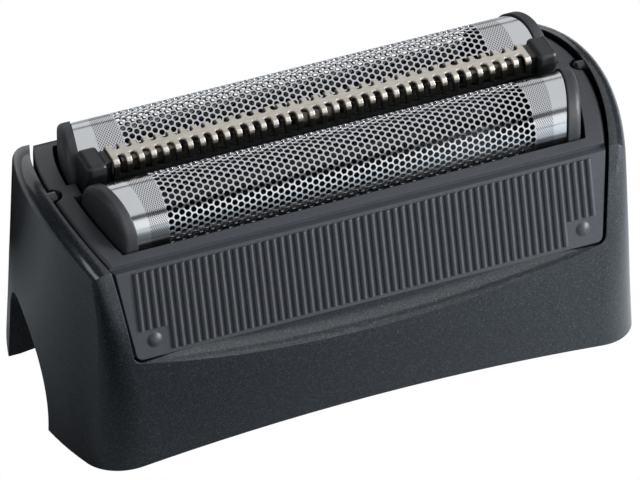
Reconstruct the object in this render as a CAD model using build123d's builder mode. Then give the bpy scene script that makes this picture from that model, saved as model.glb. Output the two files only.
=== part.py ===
"""Foil head of an electric shaver, in millimetres.

The head stands on its open bottom with its length along X and its ribbed front towards -Y. Its ends are
round about the vertical axis through the middle, so the frame, the carrier, the foils and their end caps
all end on circles about that axis.
"""

import os
from math import acos, cos, degrees, radians, sin, sqrt

from build123d import *

# Outer frame
end_radius_top = 29.15
end_flare = 1.4
end_wall = 1.4
half_width = 14.1
front_mid_inset = 0.7
front_top_inset = 3.35
front_crest_inset = 4.8
front_top_height = 22.2
frame_corner_radius = 4.8
corner_mid_radius = 3.2
corner_top_radius = 1.3
corner_blend_gap = 0.02
rim_height = 24.35
rim_crown_radius = 26.0
rim_round = 1.35
front_wall = 1.45
bottom_arch_rise = 1.9
foot_length_x = 2.05

# Side windows in the frame's ends
window_height = 9.7
window_front_y = -4.9
window_crown_y = 3.5
window_rear_y = 7.1

# Crescent scoop under each skirt
scoop_drop = 2.2
scoop_end_inset = 0.35
scoop_depth = 0.75
scoop_tube_radius = 3.0

# Carrier
carrier_gap = 0.35
carrier_corner_radius = 0.5
skirt_bottom_height = 12.8
skirt_seat_gap = 0.3
skirt_bottom_inset = 0.1
crease_height = 21.8
crease_inset = 3.25
carrier_top = 24.0
carrier_top_round = 0.4
carrier_wall = 1.6
end_plate_width = 1.9
cavity_end_inset = 0.3
ledge_thickness = 1.5
ledge_plug_gap = 0.1
band_step_depth = 0.1
band_step_width = 0.75

# Ribs and domes on the skirts
rib_pitch = 0.775
rib_margin = 0.7
rib_sides = 8
rib_radius = 0.3
rib_height = 0.27
rib_end_margin = 0.45
short_rib_count = 4
dome_radius = 0.75
dome_height = 0.3
dome_sink = 0.05
dome_above_bottom = 1.75

# Snap bosses between frame and carrier
boss_radius = 0.65
boss_length = 1.1
boss_height = 23.6
boss_chamfer = 0.3

# Foils
foil_radius = 3.66
foil_thickness = 0.15
foil_centre_y = 5.08
foil_centre_z = 23.25
foil_edge_height = 21.25
foil_slot_end_gap = 0.43
foil_travel = 1.2
flat_spring_room = 1.1
hole_pitch = 2.1
hole_width = 1.45
hole_rows = 5
hole_end_margin = 5.2

# Foil end caps and edge rails
cap_groove = 0.1
cap_thickness = 1.25
cap_overhang = 0.2
cap_neck_depth = 0.45
cap_plug_clearance = 0.05
cap_plug_depth = 2.52
cap_bottom = 20.3
cap_round = 0.6
cap_slot_gap = 0.26
rail_width = 0.7
rail_height = 1.2
rail_round = 0.14
rail_clearance = 0.05

# Trimmer
comb_end_inset = 2.22
comb_half_width = 1.45
comb_thickness = 0.25
comb_top = 27.3
comb_bottom = 25.5
comb_bend = 0.3
slot_pitch = 1.245
slot_width = 0.72
slot_taper = 0.2
slot_end_margin = 0.9
slot_inner_y = 0.35
slot_bottom = 25.65
blade_clearance = 0.1
blade_inset = 0.3
blade_plain_slots = 5
blade_thickness = 0.2
blade_floor_gap = 0.15
blade_stroke = 0.8
blade_end_gap = 0.2
foot_length = 4.0
foot_thickness = 0.7
foot_notch = 1.0
foot_bottom = 20.8
foot_clearance = 0.12
cradle_half_width = 0.95
cradle_bottom = 22.4
cradle_shoulder = 0.4
cradle_shoulder_inset = 0.15
block_length = 2.0
block_neck_length = 0.7
block_overhang = 0.25
block_foot_half_width = 1.0
block_above_comb = 0.08
block_bottom = 19.4
block_round = 0.45
block_head_depth = 1.1
trimmer_end_gap = 0.4
trimmer_slot_gap = 0.3

# Leaf springs
spring_thickness = 0.2
spring_width = 1.0
cap_spring_half_span = 2.6
block_spring_half_span = 0.95
spring_seat_gap = 0.02

# Sizes that follow from those above
end_radius_bottom = end_radius_top + end_flare
carrier_radius = end_radius_top - end_wall - carrier_gap
front_mid_half_width = half_width - front_mid_inset
front_top_half_width = half_width - front_top_inset
front_crest_half_width = half_width - front_crest_inset
skirt_bottom_half_width = front_mid_half_width - skirt_bottom_inset
crease_half_width = half_width - crease_inset
skirt_half_length = sqrt(carrier_radius**2 - skirt_bottom_half_width**2)
scoop_half_length = skirt_half_length - scoop_end_inset
rib_count = 2 * int((skirt_half_length - rib_margin) / rib_pitch) + 1
sill_height = skirt_bottom_height - skirt_seat_gap
ledge_top = cap_bottom - foil_travel - flat_spring_room
frame_inner_radius = carrier_radius + carrier_gap
sill_inner_half_width = front_mid_half_width - front_wall
slot_end_radius = carrier_radius - end_plate_width
cap_outer_radius = slot_end_radius - foil_slot_end_gap
cap_inner_radius = cap_outer_radius - cap_thickness
foil_end_radius = cap_inner_radius - cap_groove
cap_plug_inner_radius = foil_end_radius - cap_plug_depth
ledge_inner_x = cap_plug_inner_radius + ledge_plug_gap
cap_radius = foil_radius + cap_overhang
foil_inner_radius = foil_radius - foil_thickness
plug_radius = foil_inner_radius - cap_plug_clearance
neck_radius = foil_radius - cap_neck_depth
foil_slot_outer_y = foil_centre_y + cap_radius + cap_slot_gap
foil_slot_inner_y = foil_centre_y - cap_radius - cap_slot_gap
comb_half_length = foil_end_radius - comb_end_inset
slot_count = 2 * round((comb_half_length - slot_end_margin) / slot_pitch)
block_half_width = comb_half_width + block_overhang
block_top = comb_top + block_above_comb
block_start_x = comb_half_length + block_neck_length
block_end_x = block_start_x + block_length
trimmer_slot_half_length = block_end_x + trimmer_end_gap
trimmer_slot_half_width = block_foot_half_width + trimmer_slot_gap
blade_half_width = comb_half_width - comb_thickness - blade_inset
blade_top = comb_top - comb_thickness - blade_clearance
blade_bottom = comb_bottom + blade_floor_gap
blade_half_length = comb_half_length - blade_stroke - blade_end_gap
tool_reach = end_radius_bottom * 3

os.makedirs("parts", exist_ok=True)


def end_plan(radius, half_depth, corner):
    """Plan of a piece with round ends about the middle axis and flat front and rear."""
    Circle(radius)
    Rectangle(tool_reach, 2 * half_depth, mode=Mode.INTERSECT)
    fillet(vertices(), corner)


def arch_profile(radius, bottom, centre_y, mode=Mode.ADD):
    """Half-round arch over straight legs, drawn on the YZ plane."""
    low, high = centre_y - radius, centre_y + radius
    with BuildLine() as outline:
        Polyline((low, foil_centre_z), (low, bottom), (high, bottom), (high, foil_centre_z))
        ThreePointArc((high, foil_centre_z), (centre_y, foil_centre_z + radius), (low, foil_centre_z))
    make_face(outline.edges(), mode=mode)


def end_ring(outer, inner):
    """Vertical ring that cuts a piece to round ends about the middle axis."""
    ring = Cylinder(outer, tool_reach, mode=Mode.PRIVATE)
    if inner > 0:
        ring = ring - Cylinder(inner, tool_reach, mode=Mode.PRIVATE)
    return ring


def round_drum(radius, bottom, corner):
    """Upright drum with a rounded lower edge: the carrier's outside and the room for it in the frame."""
    with BuildPart(mode=Mode.PRIVATE) as drum:
        with BuildSketch(Plane.XY.offset(bottom)):
            Circle(radius)
        extrude(amount=tool_reach)
        fillet(edges().sort_by(Axis.Z)[0], corner)
    return drum.part


def frame_sides():
    """Front, rear and corners of the frame: the corners tighten as the walls lean in."""
    crest_height = rim_height + rim_round
    sections = (
        (0, half_width, frame_corner_radius),
        (sill_height, front_mid_half_width, corner_mid_radius),
        (front_top_height, front_top_half_width, corner_top_radius),
        (crest_height, front_crest_half_width, corner_top_radius),
    )
    with BuildPart(mode=Mode.PRIVATE) as sides:
        for height, half_depth, corner in sections:
            radius = end_radius_bottom - end_flare * height / crest_height
            with BuildSketch(Plane.XY.offset(height)):
                end_plan(radius + corner_blend_gap, half_depth, corner)
        loft()
    return sides.part


carrier_drum = round_drum(carrier_radius, skirt_bottom_height, carrier_corner_radius)
carrier_room = round_drum(frame_inner_radius, sill_height, carrier_corner_radius + skirt_seat_gap)

# Outer frame: one moulding with crowned ends, notches for the skirts, side windows and an open bottom
with BuildPart() as head_frame:
    with BuildSketch(Plane.XY):
        Circle(end_radius_bottom)
    with BuildSketch(Plane.XY.offset(rim_height + rim_round)):
        Circle(end_radius_top)
    loft(ruled=True)
    # Crowned rim, rounded on its outer edge
    with BuildSketch(Plane.YZ):
        with Locations((0, rim_height)):
            Rectangle(tool_reach, 2 * rim_height)
        with Locations((0, rim_height - rim_crown_radius)):
            Circle(rim_crown_radius, mode=Mode.SUBTRACT)
        with Locations((0, rim_height - rim_crown_radius)):
            Rectangle(2 * half_width, rim_crown_radius, mode=Mode.SUBTRACT)
    extrude(amount=tool_reach, both=True, mode=Mode.SUBTRACT)
    crown = faces().filter_by(GeomType.CYLINDER).sort_by(Axis.Z)[-1]
    fillet(crown.edges(), rim_round)
    # Leaning front and rear, which cut the rounded rim to a crisp end
    add(frame_sides(), mode=Mode.INTERSECT)
    # Room for the carrier above the sills and for the shaver's neck below them
    add(carrier_room, mode=Mode.SUBTRACT)
    with BuildSketch(Plane.XY):
        end_plan(frame_inner_radius, sill_inner_half_width, frame_corner_radius - front_wall)
    extrude(amount=sill_height, mode=Mode.SUBTRACT)
    # Side windows
    window_round = window_rear_y - window_crown_y
    window_sweep = window_crown_y - window_front_y
    with BuildSketch(Plane.YZ):
        with BuildLine():
            front_edge = EllipticalCenterArc((window_crown_y, 0), window_sweep, window_height, 90, arc_size=90)
            rear_edge = CenterArc((window_crown_y, window_height - window_round), window_round, 0, 90)
            Polyline(rear_edge @ 0, (window_rear_y, 0), front_edge @ 1)
        make_face()
    extrude(amount=tool_reach, both=True, mode=Mode.SUBTRACT)
    # Shallow arch in the bottom edges of the front and rear walls
    arch_half_length = end_radius_bottom - foot_length_x
    arch_radius = (arch_half_length**2 + bottom_arch_rise**2) / (2 * bottom_arch_rise)
    with BuildSketch(Plane.XZ):
        with Locations((0, bottom_arch_rise - arch_radius)):
            Circle(arch_radius)
    extrude(amount=tool_reach, both=True, mode=Mode.SUBTRACT)
    # Crescent scoops: a tube bent to the crescent's lower edge bites into each wall, between the skirt's corners
    scoop_edge_radius = (scoop_half_length**2 + scoop_drop**2) / (2 * scoop_drop)
    scoop_bite = sqrt(scoop_tube_radius**2 - (scoop_tube_radius - scoop_depth) ** 2)
    scoop_y = front_mid_half_width + scoop_tube_radius - scoop_depth
    scoop_z = sill_height - scoop_drop + scoop_edge_radius
    scoop_span = Box(2 * scoop_half_length, tool_reach, tool_reach, mode=Mode.PRIVATE)
    scoop_tube = Torus(scoop_edge_radius - scoop_bite, scoop_tube_radius, mode=Mode.PRIVATE)
    for side in (-1, 1):
        scoop_plane = Plane((0, side * scoop_y, scoop_z), x_dir=(1, 0, 0), z_dir=(0, 1, 0))
        add(scoop_plane * scoop_tube & scoop_span, mode=Mode.SUBTRACT)
    # Snap bosses that hold the carrier down
    for side in (-1, 1):
        with BuildSketch(Plane.YZ.offset(side * (frame_inner_radius + carrier_gap))):
            with Locations((0, boss_height)):
                Circle(boss_radius)
        extrude(amount=-side * (boss_length + carrier_gap))
    boss_ends = faces().filter_by(GeomType.PLANE).filter_by(Axis.X).group_by(Axis.Z)[-1]
    chamfer(boss_ends.edges(), boss_chamfer)
head_frame.part.label = "head_frame"
export_step(head_frame.part, "parts/head_frame.step")

# Carrier: one moulding with round end plates, ribbed skirts and ledges for the springs
skirt_rise = Vector(0, crease_half_width - skirt_bottom_half_width, crease_height - skirt_bottom_height)
skirt_up = skirt_rise.normalized()
with BuildPart() as foil_carrier:
    with BuildSketch(Plane.YZ):
        with BuildLine():
            right_skirt = Line((skirt_bottom_half_width, skirt_bottom_height), (crease_half_width, crease_height))
            crown_arc = ThreePointArc(right_skirt @ 1, (0, carrier_top), (-crease_half_width, crease_height))
            left_skirt = Line(crown_arc @ 1, (-skirt_bottom_half_width, skirt_bottom_height))
            Line(left_skirt @ 1, right_skirt @ 0)
        make_face()
    extrude(amount=tool_reach, both=True)
    add(carrier_drum, mode=Mode.INTERSECT)
    # Flat step along each band between foil and skirt
    step_height = crease_height - band_step_depth
    with BuildSketch(Plane.YZ):
        with Locations((crease_half_width, step_height), (-crease_half_width, step_height)):
            Rectangle(2 * band_step_width, carrier_top, align=(Align.CENTER, Align.MIN))
    extrude(amount=tool_reach, both=True, mode=Mode.SUBTRACT)
    # Rounded upper edges of the end plates
    crown = faces().filter_by(GeomType.CYLINDER).sort_by(Axis.Z)[-1]
    fillet(crown.edges().filter_by(GeomType.LINE, reverse=True), carrier_top_round)
    # Hollow from below, with walls that follow the skirts
    cavity_half_width = skirt_bottom_half_width - carrier_wall
    cavity_top_half_width = crease_half_width - carrier_wall
    cavity_top = crease_height - carrier_wall
    with BuildSketch(Plane.YZ):
        Polygon(
            (-cavity_half_width, skirt_bottom_height),
            (cavity_half_width, skirt_bottom_height),
            (cavity_top_half_width, cavity_top),
            (-cavity_top_half_width, cavity_top),
            align=None,
        )
    cavity = extrude(amount=tool_reach, both=True, mode=Mode.PRIVATE)
    add(cavity & end_ring(slot_end_radius - cavity_end_inset, 0), mode=Mode.SUBTRACT)
    # Slots for the foil units and the trimmer
    with BuildSketch(Plane.XY.offset(ledge_top)):
        Circle(slot_end_radius)
        Rectangle(tool_reach, 2 * foil_slot_outer_y, mode=Mode.INTERSECT)
        Rectangle(tool_reach, 2 * foil_slot_inner_y, mode=Mode.SUBTRACT)
        Rectangle(2 * trimmer_slot_half_length, 2 * trimmer_slot_half_width)
    extrude(amount=tool_reach, mode=Mode.SUBTRACT)
    # Ledges at both ends, under the springs
    with BuildSketch(Plane.XY.offset(ledge_top - ledge_thickness)):
        Circle(slot_end_radius + carrier_wall / 2)
        Rectangle(tool_reach, 2 * crease_half_width - carrier_wall, mode=Mode.INTERSECT)
        Rectangle(2 * ledge_inner_x, tool_reach, mode=Mode.SUBTRACT)
    extrude(amount=ledge_thickness)
    # Pockets round the frame's snap bosses
    with BuildSketch(Plane.XY.offset(boss_height - boss_radius - carrier_gap)):
        with Locations((carrier_radius, 0), (-carrier_radius, 0)):
            SlotOverall(2 * boss_length, 2 * (boss_radius + carrier_gap))
    extrude(amount=tool_reach, mode=Mode.SUBTRACT)
    # Ribs that run down both skirts, the outermost ones short to leave room for a dome
    for side in (-1, 1):
        slope = Vector(0, -side * skirt_up.Y, -skirt_up.Z)
        top = Vector(0, side * crease_half_width, crease_height) + slope * rib_end_margin
        outward = Vector(0, side * skirt_up.Z, -skirt_up.Y)
        rib_plane = Plane(origin=top, x_dir=(1, 0, 0), z_dir=slope)
        sink = rib_radius - rib_height
        sink_y = sink * (1 if rib_plane.y_dir.dot(outward) < 0 else -1)
        full_ribs = rib_count - 2 * short_rib_count
        full_length = skirt_rise.length - 2 * rib_end_margin
        short_length = full_length - dome_above_bottom - dome_radius
        short_x = [(full_ribs + 1 + 2 * i) * rib_pitch / 2 for i in range(short_rib_count)]
        with BuildSketch(rib_plane):
            with Locations((0, sink_y)):
                with GridLocations(rib_pitch, 1, full_ribs, 1):
                    RegularPolygon(rib_radius, rib_sides)
        extrude(amount=full_length)
        with BuildSketch(rib_plane):
            with Locations(*[(sign * x, sink_y) for x in short_x for sign in (-1, 1)]):
                RegularPolygon(rib_radius, rib_sides)
        extrude(amount=short_length)
        dome_x = (short_x[0] + short_x[-1]) / 2
        dome_sphere = (dome_radius**2 + dome_height**2) / (2 * dome_height)
        dome_foot = Vector(0, side * skirt_bottom_half_width, skirt_bottom_height) - slope * dome_above_bottom
        dome_angle = degrees(acos(1 - (dome_height + dome_sink) / dome_sphere))
        dome_align = (Align.CENTER, Align.CENTER, Align.MIN)
        dome = Sphere(dome_sphere, 90 - dome_angle, 90, align=dome_align, mode=Mode.PRIVATE)
        for sign in (-1, 1):
            dome_base = Plane(dome_foot + Vector(sign * dome_x, 0, 0), x_dir=(1, 0, 0), z_dir=outward)
            add(dome_base.offset(-dome_sink) * dome)
foil_carrier.part.label = "foil_carrier"
export_step(foil_carrier.part, "parts/foil_carrier.step")

# Foils: half-round perforated sheets
for place, side in (("front", -1), ("rear", 1)):
    centre_y = side * foil_centre_y
    with BuildPart() as foil:
        with BuildSketch(Plane.YZ):
            arch_profile(foil_radius, foil_edge_height, centre_y)
            arch_profile(foil_inner_radius, foil_edge_height, centre_y, mode=Mode.SUBTRACT)
        extrude(amount=tool_reach, both=True)
        add(end_ring(foil_end_radius, 0), mode=Mode.INTERSECT)
        row_angle = 180 / (hole_rows + 1)
        columns = int(2 * (foil_end_radius - hole_end_margin) / hole_pitch)
        for row in range(hole_rows):
            turn = radians((row - (hole_rows - 1) / 2) * row_angle)
            normal = Vector(0, sin(turn), cos(turn))
            stagger = hole_pitch / 4 if row % 2 else -hole_pitch / 4
            axis_point = Vector(stagger, centre_y, foil_centre_z)
            with BuildSketch(Plane(axis_point + normal * foil_inner_radius / 2, x_dir=(1, 0, 0), z_dir=normal)):
                with GridLocations(hole_pitch, 1, columns, 1):
                    RegularPolygon(hole_width / 2, 6, major_radius=False, rotation=30)
            extrude(amount=foil_radius, mode=Mode.SUBTRACT)
    foil.part.label = f"{place}_foil"
    export_step(foil.part, f"parts/{place}_foil.step")

    # End caps: a rounded flange, a groove and a plug inside the foil's end
    for end, end_sign in (("left", -1), ("right", 1)):
        with BuildPart() as cap:
            with BuildSketch(Plane.YZ):
                arch_profile(cap_radius, cap_bottom, centre_y)
            extrude(amount=end_sign * tool_reach)
            add(end_ring(cap_outer_radius, cap_inner_radius), mode=Mode.INTERSECT)
            outer_face = faces().filter_by(GeomType.CYLINDER).sort_by(Axis.X)[-1 if end_sign > 0 else 0]
            rim_edges = outer_face.edges().sort_by(Axis.Z)[1:]
            fillet(rim_edges, cap_round)
            with BuildSketch(Plane.YZ, mode=Mode.PRIVATE) as neck:
                arch_profile(neck_radius, cap_bottom, centre_y)
            neck_bar = extrude(neck.sketch, amount=end_sign * tool_reach, mode=Mode.PRIVATE)
            add(neck_bar & end_ring(cap_inner_radius + cap_thickness / 2, cap_plug_inner_radius))
            with BuildSketch(Plane.YZ, mode=Mode.PRIVATE) as plug:
                arch_profile(plug_radius, cap_bottom, centre_y)
            plug_bar = extrude(plug.sketch, amount=end_sign * tool_reach, mode=Mode.PRIVATE)
            add(plug_bar & end_ring(foil_end_radius, cap_plug_inner_radius))
        cap.part.label = f"{place}_{end}_cap"
        export_step(cap.part, f"parts/{place}_{end}_cap.step")

    # Edge rails: strips inside the foil's straight edges, from cap to cap
    for edge, edge_sign in (("outer", side), ("inner", -side)):
        rail_y = centre_y + edge_sign * (foil_inner_radius - rail_clearance - rail_width / 2)
        with BuildPart() as rail:
            with BuildSketch(Plane.YZ):
                with Locations((rail_y, foil_edge_height + rail_height / 2)):
                    RectangleRounded(rail_width, rail_height, rail_round)
            extrude(amount=tool_reach, both=True)
            add(end_ring(cap_plug_inner_radius - rail_clearance, 0), mode=Mode.INTERSECT)
        rail.part.label = f"{place}_{edge}_rail"
        export_step(rail.part, f"parts/{place}_{edge}_rail.step")


def channel(half_width_outer, top, bottom, thickness, bend):
    """Channel section, open below, with bevelled upper bends."""
    with Locations((0, (top + bottom) / 2)):
        Rectangle(2 * half_width_outer, top - bottom)
    chamfer(vertices().group_by(Axis.Y)[-1], bend)
    with Locations((0, (top - thickness + bottom - thickness) / 2)):
        Rectangle(2 * (half_width_outer - thickness), top - bottom, mode=Mode.SUBTRACT)


def tapered_slot(side):
    """Slot that runs out over one long edge of the trimmer and narrows at its inner end."""
    inner, outer = side * slot_inner_y, side * 2 * comb_half_width
    shoulder = side * (slot_inner_y + slot_taper)
    half_slot = slot_width / 2
    half_end = half_slot - slot_taper
    Polygon(
        (-half_slot, outer),
        (-half_slot, shoulder),
        (-half_end, inner),
        (half_end, inner),
        (half_slot, shoulder),
        (half_slot, outer),
        align=None,
    )


# Trimmer comb: a bent sheet with slots that run over both bends
with BuildPart() as trimmer_comb:
    with BuildSketch(Plane.YZ):
        channel(comb_half_width, comb_top, comb_bottom, comb_thickness, comb_bend)
    extrude(amount=comb_half_length, both=True)
    with BuildSketch(Plane.XY.offset(slot_bottom)):
        for side in (-1, 1):
            with GridLocations(slot_pitch, 1, slot_count, 1):
                tapered_slot(side)
    extrude(amount=comb_top, mode=Mode.SUBTRACT)
trimmer_comb.part.label = "trimmer_comb"
export_step(trimmer_comb.part, "parts/trimmer_comb.step")

# Trimmer blade: a smaller slotted channel that slides inside the comb, plain near its ends
with BuildPart() as trimmer_blade:
    with BuildSketch(Plane.YZ):
        channel(blade_half_width, blade_top, blade_bottom, blade_thickness, comb_bend - blade_clearance)
    extrude(amount=blade_half_length, both=True)
    with BuildSketch(Plane.XY.offset(slot_bottom + blade_floor_gap)):
        for side in (-1, 1):
            with GridLocations(slot_pitch, 1, slot_count - 2 * blade_plain_slots, 1):
                tapered_slot(side)
    extrude(amount=comb_top, mode=Mode.SUBTRACT)
trimmer_blade.part.label = "trimmer_blade"
export_step(trimmer_blade.part, "parts/trimmer_blade.step")

# Drive foot: hangs from the blade's top through the cradle
foot_top = blade_top - blade_thickness
with BuildPart() as trimmer_drive_foot:
    with Locations((0, 0, (foot_top + foot_bottom) / 2)):
        Box(foot_length, foot_thickness, foot_top - foot_bottom)
    fillet(edges().filter_by(Axis.Y).group_by(Axis.Z)[0], foot_thickness / 2)
    with Locations((0, 0, foot_bottom)):
        Box(foot_notch, foot_thickness, foot_thickness * 2, mode=Mode.SUBTRACT)
trimmer_drive_foot.part.label = "trimmer_drive_foot"
export_step(trimmer_drive_foot.part, "parts/trimmer_drive_foot.step")

# Cradle: the bar that the comb's edges stand on, slotted for the drive foot
with BuildPart() as trimmer_cradle:
    with BuildSketch(Plane.YZ):
        with Locations((0, comb_bottom - cradle_shoulder / 2)):
            Rectangle(2 * (comb_half_width - cradle_shoulder_inset), cradle_shoulder)
        with Locations((0, (comb_bottom + cradle_bottom) / 2)):
            Rectangle(2 * cradle_half_width, comb_bottom - cradle_bottom)
    extrude(amount=comb_half_length, both=True)
    foot_room = foot_length / 2 + blade_stroke + blade_end_gap
    with BuildSketch(Plane.XY.offset(cradle_bottom)):
        Rectangle(2 * foot_room, foot_thickness + 2 * foot_clearance)
    extrude(amount=comb_bottom - cradle_bottom, mode=Mode.SUBTRACT)
trimmer_cradle.part.label = "trimmer_cradle"
export_step(trimmer_cradle.part, "parts/trimmer_cradle.step")

# End blocks of the trimmer: rounded broad heads over narrow feet, with necks that meet the comb
for end, end_sign in (("left", -1), ("right", 1)):
    with BuildPart() as block:
        head_low = block_top - block_head_depth
        foot_top_height = head_low - 2 * (block_half_width - block_foot_half_width)
        with BuildSketch(Plane.YZ.offset(end_sign * block_start_x)):
            with BuildLine():
                Polyline(
                    (0, block_bottom),
                    (block_foot_half_width, block_bottom),
                    (block_foot_half_width, foot_top_height),
                    (block_half_width, head_low),
                    (block_half_width, block_top),
                    (0, block_top),
                    close=True,
                )
            make_face()
            mirror(about=Plane.YZ)
        extrude(amount=end_sign * block_length)
        head_corners = edges().filter_by(Axis.Z).group_by(Axis.Z)[-1]
        fillet(head_corners + faces().sort_by(Axis.Z)[-1].edges(), block_round)
        neck_top = comb_top - comb_thickness
        with BuildSketch(Plane.YZ.offset(end_sign * comb_half_length)):
            with Locations((0, (cradle_bottom + neck_top) / 2)):
                Rectangle(2 * cradle_half_width, neck_top - cradle_bottom)
        extrude(amount=end_sign * (block_neck_length + block_round))
    block.part.label = f"trimmer_{end}_block"
    export_step(block.part, f"parts/trimmer_{end}_block.step")


def bow_spring(name, centre_x, centre_y, half_span, top):
    """Bowed leaf spring that stands on a ledge and touches the piece above at its crown."""
    rise = top - spring_seat_gap - ledge_top
    with BuildPart() as spring:
        with BuildSketch(Plane.YZ.offset(centre_x)):
            with BuildLine():
                outer = ThreePointArc(
                    (centre_y - half_span, ledge_top), (centre_y, ledge_top + rise), (centre_y + half_span, ledge_top)
                )
                inner_span = half_span - spring_thickness
                foot_line = Line(outer @ 1, (centre_y + inner_span, ledge_top))
                inner = ThreePointArc(
                    foot_line @ 1,
                    (centre_y, ledge_top + rise - spring_thickness),
                    (centre_y - inner_span, ledge_top),
                )
                Line(inner @ 1, outer @ 0)
            make_face()
        extrude(amount=spring_width / 2, both=True)
    spring.part.label = name
    export_step(spring.part, f"parts/{name}.step")


# Springs: one under each foil cap and one under each trimmer block
cap_middle = (cap_plug_inner_radius + cap_outer_radius) / 2
spring_x = sqrt(cap_middle**2 - foil_centre_y**2) + spring_width / 2
for end, end_sign in (("left", -1), ("right", 1)):
    for place, side in (("front", -1), ("rear", 1)):
        bow_spring(
            f"{place}_{end}_spring", end_sign * spring_x, side * foil_centre_y, cap_spring_half_span, cap_bottom
        )
    block_middle = block_start_x + block_length / 2
    bow_spring(f"trimmer_{end}_spring", end_sign * block_middle, 0, block_spring_half_span, block_bottom)
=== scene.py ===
from math import atan2, copysign, cos, pi, radians, sin, sqrt

import bmesh
import bpy
from mathutils import Matrix, Vector


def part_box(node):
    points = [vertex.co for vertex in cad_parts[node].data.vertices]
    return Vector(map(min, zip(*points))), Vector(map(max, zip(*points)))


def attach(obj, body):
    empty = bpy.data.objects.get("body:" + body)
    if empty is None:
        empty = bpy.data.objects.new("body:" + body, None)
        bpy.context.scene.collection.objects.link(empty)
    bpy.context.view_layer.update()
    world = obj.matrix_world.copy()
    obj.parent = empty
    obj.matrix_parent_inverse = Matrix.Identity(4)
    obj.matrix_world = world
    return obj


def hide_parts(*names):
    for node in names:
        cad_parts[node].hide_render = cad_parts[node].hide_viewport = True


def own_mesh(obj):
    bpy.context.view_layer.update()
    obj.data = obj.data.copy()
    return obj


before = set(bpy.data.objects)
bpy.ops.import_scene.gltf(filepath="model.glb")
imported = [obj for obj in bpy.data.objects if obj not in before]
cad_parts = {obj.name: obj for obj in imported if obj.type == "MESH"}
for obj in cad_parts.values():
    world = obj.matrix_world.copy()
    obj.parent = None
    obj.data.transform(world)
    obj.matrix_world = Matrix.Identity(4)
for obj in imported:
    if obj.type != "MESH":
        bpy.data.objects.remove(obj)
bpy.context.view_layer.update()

# Sizes are in millimetres, apart from those of the soft boxes, which are in metres
MM = 0.001
PLACES = ("front", "rear")
ENDS = ("left", "right")
SIDES = (-1, 1)

# Camera, as the photograph was taken: from the front left, well above, through a long lens
AZIMUTH = radians(-22.591)
ELEVATION = radians(37.839)
TARGET = Vector((0.0, 0.0, 12.8))
DISTANCE = 674.09
MOVE_RIGHT = 0.084
MOVE_UP = -1.77
SENSOR = 36.0
FOCAL_PER_WIDTH = 6981.6 / 640
CLIP_NEAR = 10
CLIP_FAR = 20000

# Patterns: the width of one mark; flakes and grain are drawn coarser than real ones, so that they show
FLAKE = 1 / 11
ORANGE_PEEL = 5 / 11
FINE_GRAIN = 1 / 7
GRAIN = 1 / 5
GLOSS_CLOUD = 20 / 7
NICKEL_CLOUD = 5 / 3

# Patterns: lines of ground and rolled steel, counted per millimetre along X, Y and Z
COMB_LINES = (0.9, 4.0, 4.0)
BLADE_LINES = (0.6, 16.0, 16.0)
SPRING_LINES = (14.0, 2.0, 2.0)

# Patterns: where a noise turns from dark to pale, and the tones of the paint, the hatch and the floor,
# whose dark tone is painted shade
NOISE_RANGE = (0.3, 0.7)
PAINT_TONES = ((0.0, "#101418"), (0.5, "#1a1f24"), (0.9, "#293037"), (1.0, "#3d454d"))
HATCH_TONES = ((0.12, "#cacccf"), (0.5, "#4c4d4f"))
FLOOR_TONES = ((0.0, "#1c1c1c"), (1.0, "#d6dde2"))
WHITE = "#ffffff"

# Rounded edges: rays for each point of the shading that softens them
EDGE_RAYS = {"samples": 6}

# Trimmer comb: heights between which painted shade darkens its bent fingers towards their roots
ROOT_SHADE_LOW = 26.55
ROOT_SHADE_HIGH = 27.25

# Foils: a honeycomb of holes, which are soft hexagons with lips turned inwards
HEXAGON = 6
HOLE_PITCH = 0.68
HOLE_RADIUS = 0.268
LIP_RADIUS = 0.286
LIP_DEPTH = 0.07
CORNER_SHARE = 0.04  # a hole's corners reach this much past its radius, and its sides fall short by it
HOLE_ROWS = 20
COLUMN_PAIRS = 32
COLUMN_STEP = HOLE_PITCH * sqrt(3) / 2
CELL_RADIUS = HOLE_PITCH / sqrt(3)
WELD = HOLE_PITCH / 100

# Foils: width of each new ring of faces, before it is rounded to the lip and to the hole
LIP_INSET = HOLE_PITCH / 20
HOLE_INSET = HOLE_PITCH / 40

# Foils: half length and half girth of the field of holes, and what counts as near its border
FIELD_X = (2 * COLUMN_PAIRS - 1) * COLUMN_STEP / 2 + CELL_RADIUS
FIELD_Y = (HOLE_ROWS + 0.5) * HOLE_PITCH / 2
NEAR_X = CELL_RADIUS * 0.6
NEAR_Y = HOLE_PITCH * 0.55

# Foils: the plain strips round the field, and the thin wall
FOIL_END_RADIUS = 23.72
END_STEPS = 6
EDGE_STEPS = 2
FOIL_WALL = 0.03
FOIL_CREASE = radians(35)

# Foils: crossed hatch on the plain ends, drawn on a map of the flat sheet
FLAT_MAP = "flat_sheet"
HATCH_INNER = 18.9
HATCH_OUTER = 21.6
HATCH_PITCH = 0.23
HATCH_ANGLE = radians(40)
WAVE_AT_SCALE_ONE = 2 * pi / 20  # length of one wave of the wave texture

# Leaf springs: distance within which the points of their copies are welded, and the angle past which an
# edge stays sharp
SPRING_WELD = 0.001
SPRING_CREASE = radians(30)

# Soft boxes: name, place, point that it faces, width and height, and power in watts
SOFT_BOXES = (
    ("top_box", (0.35, 0.08, 0.6), (0.35, 0.08, 0.0), (0.6, 1.46), 2.3),
    ("front_box", (0.1, -0.8, 0.22), (0.1, 0.0, 0.22), (0.9, 0.44), 1.5),
    ("left_box", (-0.55, -0.15, 0.45), (0.0, 0.0, 0.02), (0.3, 0.3), 1.0),
    ("back_box", (0.0, 0.8, 0.25), (0.0, 0.0, 0.02), (0.9, 0.4), 1.0),
    ("right_box", (0.26, -0.155, 0.11), (0.0, 0.0, 0.01), (0.12, 0.12), 1.6),
)
SURROUNDINGS = "#404346"
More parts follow.
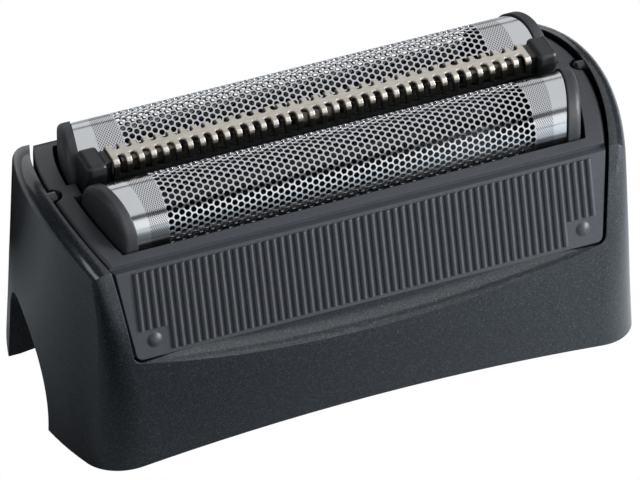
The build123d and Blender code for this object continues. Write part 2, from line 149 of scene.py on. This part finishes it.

# Floor: soft patches of painted shade that the glossy frame mirrors, with centre, dark radius and full
# radius
FLOOR_SIZE = 3000
SHADE_PATCHES = (
    ((-50, -62, 0), 30, 90),
    ((-28, 36, 0), 10, 26),
    ((40, 36, 0), 14, 30),
)


def start_clean():
    """Leaves nothing selected, in object mode."""
    if bpy.context.object and bpy.context.object.mode != "OBJECT":
        bpy.ops.object.mode_set(mode="OBJECT")
    bpy.ops.object.select_all(action="DESELECT")


def weld(distance):
    """Merges the active mesh's points that lie within a distance of each other."""
    bpy.ops.object.mode_set(mode="EDIT")
    bpy.ops.mesh.select_all(action="SELECT")
    bpy.ops.mesh.remove_doubles(threshold=distance)
    bpy.ops.object.mode_set(mode="OBJECT")


def dress(finish, *nodes):
    """Gives CAD nodes a finish."""
    for node in nodes:
        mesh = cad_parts[node].data
        mesh.materials.clear()
        mesh.materials.append(finish)


# Materials


def linear(code):
    """Linear colour of an sRGB hex code."""
    parts = [int(code[i : i + 2], 16) / 255 for i in (1, 3, 5)]
    return (*[c / 12.92 if c <= 0.04045 else ((c + 0.055) / 1.055) ** 2.4 for c in parts], 1.0)


def add(tree, kind, settings=None, stops=(), **sockets):
    """Adds a node with its settings and colour stops, and sets or links its sockets.

    A socket goes by its name, with _ for a space, or by its number, as i0. A node that is given for a
    socket stands for its own first output. A new colour ramp has two stops, so others are added.
    """
    made = tree.nodes.new("ShaderNode" + kind)
    for name, value in (settings or {}).items():
        setattr(made, name, value)
    for _ in stops[2:]:
        made.color_ramp.elements.new(0.5)
    for index, (place, code) in enumerate(stops):
        made.color_ramp.elements[index].position = place
        made.color_ramp.elements[index].color = linear(code)
    for name, value in sockets.items():
        socket = made.inputs[int(name[1:]) if name[1:].isdigit() else name.replace("_", " ")]
        if isinstance(value, bpy.types.Node):
            value = value.outputs[0]
        if isinstance(value, bpy.types.NodeSocket):
            tree.links.new(value, socket)
        else:
            socket.default_value = value
    return made


def material(name):
    """New material, its empty node tree, and the piece's own coordinates in millimetres."""
    made = bpy.data.materials.new(name)
    made.use_nodes = True
    tree = made.node_tree
    tree.nodes.clear()
    metres = add(tree, "TexCoord").outputs["Object"]
    place = add(tree, "VectorMath", {"operation": "SCALE"}, i0=metres, Scale=1 / MM)
    return made, tree, place


def metallic_paint():
    """Charcoal paint, sprayed: dark, with small sparks of metal flake under a clear coat."""
    made, tree, place = material("charcoal_metallic_paint_sprayed")
    flakes = add(tree, "TexVoronoi", Vector=place, Scale=1 / FLAKE)
    spark = add(tree, "SeparateColor", Color=flakes.outputs["Color"])
    base = add(tree, "ValToRGB", stops=PAINT_TONES, Fac=spark)
    peel = add(tree, "TexNoise", Vector=place, Scale=1 / ORANGE_PEEL, Detail=2.0)
    edges = add(tree, "Bevel", EDGE_RAYS, Radius=0.2 * MM)
    skin = add(tree, "Bump", Strength=0.05, Distance=0.02 * MM, Height=peel, Normal=edges)
    shader = add(
        tree,
        "BsdfPrincipled",
        Base_Color=base,
        Metallic=0.5,
        Roughness=0.42,
        Coat_Weight=0.8,
        Coat_Roughness=0.12,
        Normal=skin,
    )
    add(tree, "OutputMaterial", Surface=shader)
    return made


def moulded_plastic(name, tones, rough, grain, depth, edge):
    """Moulded plastic: a fine even grain breaks up the highlight, and the gloss changes in soft clouds."""
    made, tree, place = material(name)
    grains = add(tree, "TexNoise", Vector=place, Scale=1 / grain, Detail=3.0)
    clouds = add(tree, "TexNoise", Vector=place, Scale=1 / GLOSS_CLOUD, Detail=2.0)
    base = add(tree, "ValToRGB", stops=list(zip(NOISE_RANGE, tones)), Fac=grains)
    gloss = add(tree, "MapRange", Value=clouds, To_Min=rough[0], To_Max=rough[1])
    edges = add(tree, "Bevel", EDGE_RAYS, Radius=edge * MM)
    skin = add(tree, "Bump", Strength=0.35, Distance=depth * MM, Height=grains, Normal=edges)
    shader = add(tree, "BsdfPrincipled", Base_Color=base, Roughness=gloss, Normal=skin)
    add(tree, "OutputMaterial", Surface=shader)
    return made


def lined_steel(tree, place, tones, rough, lines):
    """Colour and roughness of steel with the fine lines of a grinding wheel or a roll."""
    stretched = add(tree, "VectorMath", {"operation": "MULTIPLY"}, i0=place, i1=lines)
    streaks = add(tree, "TexNoise", Vector=stretched, Scale=1.0, Detail=3.0)
    colour = add(tree, "ValToRGB", stops=list(zip(NOISE_RANGE, tones)), Fac=streaks)
    gloss = add(tree, "MapRange", Value=streaks, To_Min=rough[0], To_Max=rough[1])
    return colour, gloss


def bare_steel(name, tones, rough, lines):
    """Steel as it was ground or rolled: grey, with a soft shine drawn out along its lines."""
    made, tree, place = material(name)
    base, gloss = lined_steel(tree, place, tones, rough, lines)
    shader = add(tree, "BsdfPrincipled", Base_Color=base, Metallic=1.0, Roughness=gloss)
    add(tree, "OutputMaterial", Surface=shader)
    return made


def satin_comb_steel():
    """Stainless steel, satin rolled: pale and warm, with painted shade darkening the bent fingers towards
    their roots.
    """
    made, tree, place = material("pale_stainless_steel_satin")
    pale, gloss = lined_steel(tree, place, ("#cbc5ba", "#e0dbd2"), (0.44, 0.56), COMB_LINES)
    height = add(tree, "SeparateXYZ", Vector=place).outputs["Z"]
    # painted shade: the fingers turn near black below the bend, where they sit in shade between the foils
    root_shade = add(tree, "MapRange", Value=height, From_Min=ROOT_SHADE_LOW, From_Max=ROOT_SHADE_HIGH)
    base = add(tree, "Mix", {"data_type": "RGBA"}, i0=root_shade, i6=linear("#1b1a18"), i7=pale)
    edges = add(tree, "Bevel", EDGE_RAYS, Radius=0.14 * MM)
    shader = add(
        tree,
        "BsdfPrincipled",
        Base_Color=base.outputs[2],
        Metallic=0.75,
        Roughness=gloss,
        Normal=edges,
    )
    add(tree, "OutputMaterial", Surface=shader)
    return made


def bright_nickel():
    """Electroformed nickel: a bright mirror, with a fine crossed hatch beyond the holes."""
    made, tree, place = material("bright_electroformed_nickel")
    flat = add(tree, "UVMap", {"uv_map": FLAT_MAP})
    along = add(tree, "SeparateXYZ", Vector=flat).outputs["X"]
    far = add(tree, "Math", {"operation": "ABSOLUTE"}, i0=along)
    inner = add(tree, "Math", {"operation": "GREATER_THAN"}, i0=far, i1=HATCH_INNER)
    outer = add(tree, "Math", {"operation": "LESS_THAN"}, i0=far, i1=HATCH_OUTER)
    marks = add(tree, "Math", {"operation": "MULTIPLY"}, i0=inner, i1=outer)
    for side in SIDES:
        turned = add(
            tree, "VectorRotate", {"rotation_type": "Z_AXIS"}, Vector=flat, Angle=side * HATCH_ANGLE
        )
        wave = add(
            tree,
            "TexWave",
            {"wave_profile": "SIN"},
            Vector=turned,
            Scale=WAVE_AT_SCALE_ONE / HATCH_PITCH,
        )
        marks = add(tree, "Math", {"operation": "MULTIPLY"}, i0=marks, i1=wave.outputs["Fac"])
    base = add(tree, "ValToRGB", stops=HATCH_TONES, Fac=marks)
    clouds = add(tree, "TexNoise", Vector=place, Scale=1 / NICKEL_CLOUD, Detail=2.0)
    gloss = add(tree, "MapRange", Value=clouds, To_Min=0.12, To_Max=0.22)
    shader = add(tree, "BsdfPrincipled", Base_Color=base, Metallic=1.0, Roughness=gloss)
    add(tree, "OutputMaterial", Surface=shader)
    return made


# Foils


def hexagon_cell(name):
    """Flat hexagon in millimetres, with a point in the middle of each side too."""
    start_clean()
    bpy.ops.mesh.primitive_circle_add(vertices=2 * HEXAGON, radius=CELL_RADIUS, fill_type="NGON")
    cell = bpy.context.object
    cell.name = name
    for index, vertex in enumerate(cell.data.vertices):
        angle = pi * index / HEXAGON
        reach = CELL_RADIUS if index % 2 == 0 else HOLE_PITCH / 2
        vertex.co = Vector((reach * cos(angle), reach * sin(angle), 0))
    return cell


def repeat(sheet, count, step):
    """Repeats the sheet and welds the copies."""
    array = sheet.modifiers.new("repeat", "ARRAY")
    array.count = count
    array.use_relative_offset = False
    array.use_constant_offset = True
    array.constant_offset_displace = step
    array.use_merge_vertices = True
    array.merge_threshold = WELD
    bpy.ops.object.modifier_apply(modifier=array.name)


def sink_cells(sheet, inset, radius, depth):
    """Insets each selected cell, rounds the new one to a soft hexagon and sinks it."""
    bpy.ops.mesh.inset(use_individual=True, thickness=inset)
    mesh = bmesh.from_edit_mesh(sheet.data)
    for face in mesh.faces:
        if face.select:
            centre = face.calc_center_median()
            for vertex in face.verts:
                arm = (vertex.co - centre).normalized()
                corner = cos(HEXAGON * atan2(arm.y, arm.x))
                vertex.co = centre + arm * radius * (1 + CORNER_SHARE * corner)
                vertex.co.z = -depth
    bmesh.update_edit_mesh(sheet.data)


def square_border(sheet):
    """Moves the ragged border of the cells onto a rectangle, and leaves the selected cells alone."""
    mesh = bmesh.from_edit_mesh(sheet.data)
    for vertex in mesh.verts:
        if any(face.select for face in vertex.link_faces):
            continue
        if abs(vertex.co.x) > FIELD_X - NEAR_X:
            vertex.co.x = copysign(FIELD_X, vertex.co.x)
        if abs(vertex.co.y) > FIELD_Y - NEAR_Y:
            vertex.co.y = copysign(FIELD_Y, vertex.co.y)
    bmesh.update_edit_mesh(sheet.data)


def perforated_field(name):
    """Flat sheet of cells about the origin, each with a hole and a lip turned inwards."""
    sheet = hexagon_cell(name)
    bpy.ops.object.mode_set(mode="EDIT")
    bpy.ops.mesh.select_all(action="SELECT")
    bpy.ops.mesh.duplicate_move(TRANSFORM_OT_translate={"value": (COLUMN_STEP, HOLE_PITCH / 2, 0)})
    weld(WELD)
    repeat(sheet, HOLE_ROWS, (0, HOLE_PITCH, 0))
    repeat(sheet, COLUMN_PAIRS, (2 * COLUMN_STEP, 0, 0))
    middle = Vector((FIELD_X - CELL_RADIUS, FIELD_Y - HOLE_PITCH / 2, 0))
    sheet.data.transform(Matrix.Translation(-middle))
    bpy.ops.object.mode_set(mode="EDIT")
    bpy.ops.mesh.select_all(action="SELECT")
    sink_cells(sheet, LIP_INSET, LIP_RADIUS, 0)
    square_border(sheet)
    sink_cells(sheet, HOLE_INSET, HOLE_RADIUS, LIP_DEPTH)
    bpy.ops.mesh.delete(type="FACE")
    weld(WELD)
    return sheet


def widen(sheet, axis, border, reach, steps):
    """Extrudes one straight border of the flat sheet out to a plain strip, in even steps."""
    bpy.ops.mesh.select_all(action="DESELECT")
    mesh = bmesh.from_edit_mesh(sheet.data)
    for edge in mesh.edges:
        if edge.is_boundary and all(abs(v.co[axis] - border) < WELD for v in edge.verts):
            edge.select_set(True)
    bmesh.update_edit_mesh(sheet.data)
    step = Vector((0, 0, 0))
    step[axis] = (reach - border) / steps
    for _ in range(steps):
        bpy.ops.mesh.extrude_region_move(TRANSFORM_OT_translate={"value": step})


def keep_flat_map(sheet):
    """Stores each corner's place on the flat sheet, in millimetres, as the sheet's UV map."""
    flat = sheet.data.uv_layers.new(name=FLAT_MAP)
    for loop in sheet.data.loops:
        flat.data[loop.index].uv = sheet.data.vertices[loop.vertex_index].co.xy


def foil_arch(node):
    """Radius, middle and half girth of a CAD foil's arch, in millimetres."""
    low, high = (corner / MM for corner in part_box(node))
    radius = (high.y - low.y) / 2
    middle = Vector((0, (high.y + low.y) / 2, high.z - radius))
    half_girth = radius * pi / 2 + middle.z - low.z
    return radius, middle, half_girth


def wrap(sheet, radius, middle):
    """Wraps the flat sheet to a foil's arch and trims its ends to the head's round end."""
    arc = radius * pi / 2
    for vertex in sheet.data.vertices:
        x, along, depth = vertex.co
        angle = max(-arc, min(arc, along)) / radius
        straight = max(0, abs(along) - arc)
        y = middle.y + (radius + depth) * sin(angle)
        z = middle.z + (radius + depth) * cos(angle) - straight
        if abs(x) > FIELD_X:
            end = sqrt(FOIL_END_RADIUS**2 - y**2)
            share = (abs(x) - FIELD_X) / (FOIL_END_RADIUS - FIELD_X)
            x = copysign(FIELD_X + share * (end - FIELD_X), x)
        vertex.co = Vector((x, y, z)) * MM
    sheet.data.update()


def thicken(sheet):
    """Turns the wrapped sheet's faces outwards and gives it a wall on the inside."""
    bpy.ops.object.mode_set(mode="EDIT")
    bpy.ops.mesh.select_all(action="SELECT")
    bpy.ops.mesh.normals_make_consistent(inside=False)
    bpy.ops.object.mode_set(mode="OBJECT")
    wall = sheet.modifiers.new("wall", "SOLIDIFY")
    wall.thickness = FOIL_WALL * MM
    wall.offset = -1
    bpy.ops.object.modifier_apply(modifier=wall.name)
    bpy.ops.object.shade_smooth_by_angle(angle=FOIL_CREASE)


def make_foil(place, finish):
    """One foil: a field of holes with plain strips round it, wrapped to the arch of the CAD foil."""
    node = f"{place}_foil"
    dress(finish, node)
    radius, middle, half_girth = foil_arch(node)
    sheet = perforated_field(f"{place}_foil_sheet")
    bpy.ops.object.mode_set(mode="EDIT")
    bpy.ops.mesh.select_mode(type="EDGE")
    for side in SIDES:
        widen(sheet, 1, side * FIELD_Y, side * half_girth, EDGE_STEPS)
    for side in SIDES:
        widen(sheet, 0, side * FIELD_X, side * FOIL_END_RADIUS, END_STEPS)
    bpy.ops.mesh.select_mode(type="FACE")
    bpy.ops.object.mode_set(mode="OBJECT")
    keep_flat_map(sheet)
    wrap(sheet, radius, middle)
    thicken(sheet)
    sheet.data.materials.append(finish)
    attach(sheet, f"{place}_foil_unit")
    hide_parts(node)


# Springs


def make_spring(node, finish):
    """Copy of a CAD leaf spring, welded and smoothed, which the head carries in place of the CAD node."""
    dress(finish, node)
    start_clean()
    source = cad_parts[node]
    source.select_set(True)
    bpy.context.view_layer.objects.active = source
    bpy.ops.object.duplicate()
    leaf = bpy.context.object
    leaf.name = f"{node}_leaf"
    weld(SPRING_WELD * MM)
    bpy.ops.object.shade_smooth_by_angle(angle=SPRING_CREASE)
    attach(leaf, "head")
    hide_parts(node)
    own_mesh(leaf)


# Studio


def make_camera():
    """Camera at the photograph's angle."""
    back = Vector((sin(AZIMUTH) * cos(ELEVATION), -cos(AZIMUTH) * cos(ELEVATION), sin(ELEVATION)))
    right = Vector((cos(AZIMUTH), sin(AZIMUTH), 0))
    up = back.cross(right)
    data = bpy.data.cameras.new("photo_camera")
    data.sensor_width = SENSOR
    data.lens = SENSOR * FOCAL_PER_WIDTH
    data.clip_start = CLIP_NEAR * MM
    data.clip_end = CLIP_FAR * MM
    camera = bpy.data.objects.new("photo_camera", data)
    bpy.context.scene.collection.objects.link(camera)
    camera.location = (TARGET + DISTANCE * back + MOVE_RIGHT * right + MOVE_UP * up) * MM
    camera.rotation_mode = "QUATERNION"
    camera.rotation_quaternion = Matrix((right, up, back)).transposed().to_quaternion()
    bpy.context.scene.camera = camera


def soft_box(name, place, aim, size, power):
    """Soft white box light at a place, facing a point."""
    data = bpy.data.lights.new(name, "AREA")
    data.shape = "RECTANGLE"
    data.size, data.size_y = size
    data.energy = power
    lamp = bpy.data.objects.new(name, data)
    bpy.context.scene.collection.objects.link(lamp)
    lamp.location = place
    lamp.rotation_mode = "QUATERNION"
    lamp.rotation_quaternion = (Vector(aim) - Vector(place)).to_track_quat("-Z", "Y")


def make_world():
    """Even dim surroundings, which the camera sees as plain white."""
    world = bpy.data.worlds.new("studio")
    bpy.context.scene.world = world
    world.use_nodes = True
    tree = world.node_tree
    tree.nodes.clear()
    seen = add(tree, "LightPath").outputs["Is Camera Ray"]
    dim = add(tree, "Background", Color=linear(SURROUNDINGS), Strength=1.0)
    white = add(tree, "Background", Color=linear(WHITE), Strength=1.0)
    mix = add(tree, "MixShader", Fac=seen, i1=dim, i2=white)
    add(tree, "OutputWorld", Surface=mix)


def floor_paper():
    """White paper, rolled out: plain white to the camera, pale with soft patches of painted shade in
    mirrors.

    From below it is clear, so that the open underside can be looked into.
    """
    made, tree, place = material("white_paper_sweep")
    shade = 1.0
    # painted shade: dark patches on the paper, seen only in reflections on the glossy parts
    for centre, dark, full in SHADE_PATCHES:
        away = add(tree, "VectorMath", {"operation": "DISTANCE"}, i0=place, i1=centre)
        shade_patch = add(tree, "MapRange", Value=away.outputs["Value"], From_Min=dark, From_Max=full)
        shade = add(tree, "Math", {"operation": "MINIMUM"}, i0=shade_patch, i1=shade)
    tone = add(tree, "ValToRGB", stops=FLOOR_TONES, Fac=shade)
    paper = add(tree, "BsdfDiffuse", Color=tone)
    white = add(tree, "Emission", Color=linear(WHITE), Strength=1.0)
    seen = add(tree, "LightPath").outputs["Is Camera Ray"]
    upper = add(tree, "MixShader", Fac=seen, i1=paper, i2=white)
    below = add(tree, "NewGeometry").outputs["Backfacing"]
    clear = add(tree, "BsdfTransparent")
    both = add(tree, "MixShader", Fac=below, i1=upper, i2=clear)
    add(tree, "OutputMaterial", Surface=both)
    return made


def make_floor():
    """Flat studio floor under the head."""
    start_clean()
    bpy.ops.mesh.primitive_plane_add(size=FLOOR_SIZE * MM, location=(0, 0, 0))
    floor = bpy.context.object
    floor.name = "studio_floor"
    floor.data.materials.append(floor_paper())


bpy.context.scene.view_settings.view_transform = "Standard"
make_camera()
make_world()
make_floor()
for box in SOFT_BOXES:
    soft_box(*box)

# Carrier: ABS from a spark-eroded mould, matte and finely grained
carrier_plastic = moulded_plastic(
    "charcoal_abs_spark_eroded",
    tones=("#303338", "#3e4147"),
    rough=(0.4, 0.52),
    grain=FINE_GRAIN,
    depth=0.02,
    edge=0.12,
)

# Foil end caps and rails: ABS, satin and darker than the carrier, with well rounded edges
cap_plastic = moulded_plastic(
    "black_abs_satin_moulded",
    tones=("#292b2e", "#333539"),
    rough=(0.45, 0.57),
    grain=GRAIN,
    depth=0.012,
    edge=0.25,
)

# Trimmer's blocks and cradle: acetal from a polished mould, black with a soft shine
block_plastic = moulded_plastic(
    "black_acetal_polished_mould",
    tones=("#1a1b1d", "#222426"),
    rough=(0.31, 0.43),
    grain=GRAIN,
    depth=0.012,
    edge=0.35,
)

# Drive foot: acetal in its natural off-white
foot_plastic = moulded_plastic(
    "natural_acetal_moulded",
    tones=("#bdbab2", "#cbc8c0"),
    rough=(0.4, 0.52),
    grain=GRAIN,
    depth=0.012,
    edge=0.12,
)

# Trimmer's blade and the leaf springs: bare steel, ground fine or rolled; the blade's grey is darkened
# further by painted shade, for its place under the comb
shaded_blade_steel = bare_steel("stainless_steel_ground", ("#6a6760", "#827f77"), (0.34, 0.46), BLADE_LINES)
spring_steel = bare_steel("spring_steel_rolled", ("#8f8f8c", "#b3b3af"), (0.24, 0.36), SPRING_LINES)
nickel = bright_nickel()

dress(metallic_paint(), "head_frame")
dress(carrier_plastic, "foil_carrier")
dress(satin_comb_steel(), "trimmer_comb")
dress(shaded_blade_steel, "trimmer_blade")
dress(block_plastic, "trimmer_cradle")
dress(foot_plastic, "trimmer_drive_foot")
for place in PLACES:
    dress(cap_plastic, f"{place}_outer_rail", f"{place}_inner_rail")
    make_foil(place, nickel)
    for end in ENDS:
        dress(cap_plastic, f"{place}_{end}_cap")
        make_spring(f"{place}_{end}_spring", spring_steel)
for end in ENDS:
    dress(block_plastic, f"trimmer_{end}_block")
    make_spring(f"trimmer_{end}_spring", spring_steel)
